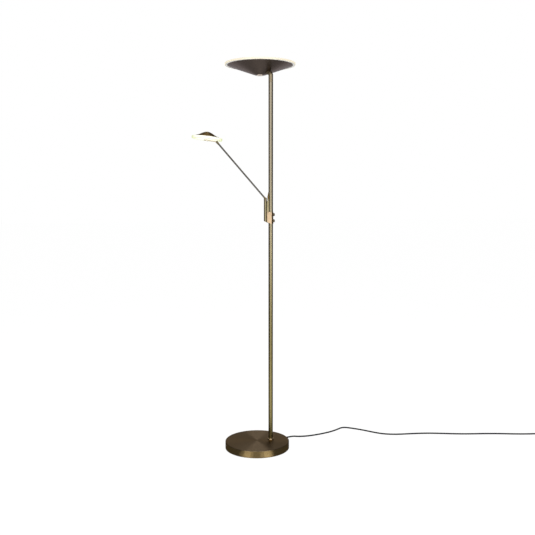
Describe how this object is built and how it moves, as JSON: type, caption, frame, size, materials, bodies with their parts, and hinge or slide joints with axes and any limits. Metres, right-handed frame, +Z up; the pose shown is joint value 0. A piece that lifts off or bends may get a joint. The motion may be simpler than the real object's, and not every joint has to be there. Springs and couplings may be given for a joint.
{
  "type": "floor lamp",
  "caption": "Uplighter floor lamp: a wide shallow bowl on an offset pole, with a round weighted base, dimmer knobs and a jointed reading arm with a small disc head.",
  "frame": {"origin": "middle of the base's underside, on the floor", "axes": "+Z up; the pole stands on the +X side of the base; the reading arm points to -X in the XZ plane"},
  "size_m": [1.8881, 0.4859, 1.81],
  "materials": {
    "old_brass": "antique brass, circular and lengthwise brushed, lacquered",
    "bright_brass": "polished pale brass",
    "weight_iron": "rough cast, unpainted",
    "zinc_steel": "zinc plated",
    "black_rubber": "matt",
    "pad_felt": "pressed felt",
    "opal_glow": "opal acrylic, lit from inside",
    "board_white": "solder mask",
    "led_yellow": "phosphor",
    "plate_alu": "plain",
    "dark_plastic": "moulded",
    "nylon_white": "moulded"
  },
  "bodies": {
    "stand": {"base_pad": "pad_felt", "base_weight": "weight_iron", "base_cover": "old_brass", "base_bush": "zinc_steel", "pole_nipple": "zinc_steel", "nipple_nut": "zinc_steel", "foot_collar": "bright_brass", "pole_plug": "zinc_steel", "pole_lower": "old_brass", "pole_middle": "old_brass", "pole_upper": "old_brass", "pole_couplers": "zinc_steel", "mains_lead": "black_rubber", "uplight_lead": "black_rubber", "cord_gland": "dark_plastic", "cord_lead": "black_rubber", "cord_coil": "black_rubber", "coil_tie": "dark_plastic", "plug_body": "dark_plastic", "plug_pins": "zinc_steel", "bracket_body": "old_brass", "bracket_screws": "zinc_steel", "dimmer_board": "board_white", "dimmer_pots": "dark_plastic"},
    "uplight": {"uplight_neck": "old_brass", "neck_saddle": "plate_alu", "neck_nut": "zinc_steel", "neck_lead": "black_rubber", "uplight_bowl": "old_brass", "bowl_cap": "nylon_white", "bowl_bolt": "zinc_steel", "uplight_plate": "plate_alu", "uplight_led_board": "board_white", "uplight_leds": "led_yellow", "uplight_driver": "nylon_white", "uplight_diffuser": "opal_glow"},
    "swivel": {"swivel_fork": "old_brass", "swivel_washer": "nylon_white", "swivel_nut": "zinc_steel", "arm_pin": "old_brass", "arm_nut": "old_brass", "arm_washers": "nylon_white"},
    "arm": {"arm_root": "old_brass", "arm_tube": "old_brass", "arm_tip": "old_brass", "arm_wiring": "black_rubber", "tip_pin": "old_brass", "tip_nut": "old_brass"},
    "head": {"head_blade": "old_brass", "head_spacer": "zinc_steel", "head_screw": "old_brass", "head_diffuser": "opal_glow", "head_plate": "plate_alu", "head_led_board": "board_white", "head_leds": "led_yellow", "head_shade": "old_brass"},
    "knob_top": {"knob_uplight": "bright_brass", "shaft_uplight": "zinc_steel"},
    "knob_low": {"knob_reading": "bright_brass", "shaft_reading": "zinc_steel"}
  },
  "joints": [
    {"name": "uplight_turn", "type": "hinge", "parent": "stand", "child": "uplight", "pos_m": [0.067, 0, 1.7], "axis": [0, 0, 1], "range_deg": [-150, 150]},
    {"name": "arm_swivel", "type": "hinge", "parent": "stand", "child": "swivel", "pos_m": [0.0412, 0, 1.15], "axis": [0, 0, 1], "range_deg": [-100, 100]},
    {"name": "arm_lift", "type": "hinge", "parent": "swivel", "child": "arm", "pos_m": [0.0412, 0, 1.1855], "axis": [0, 1, 0], "range_deg": [-68, 21]},
    {"name": "head_tilt", "type": "hinge", "parent": "arm", "child": "head", "pos_m": [-0.18715, 0, 1.4409], "axis": [0, 1, 0], "range_deg": [-75, 35]},
    {"name": "knob_uplight_turn", "type": "hinge", "parent": "stand", "child": "knob_top", "pos_m": [0.08, 0, 1.112], "axis": [1, 0, 0], "range_deg": [-150, 150]},
    {"name": "knob_reading_turn", "type": "hinge", "parent": "stand", "child": "knob_low", "pos_m": [0.08, 0, 1.083], "axis": [1, 0, 0], "range_deg": [-150, 150]}
  ]
}
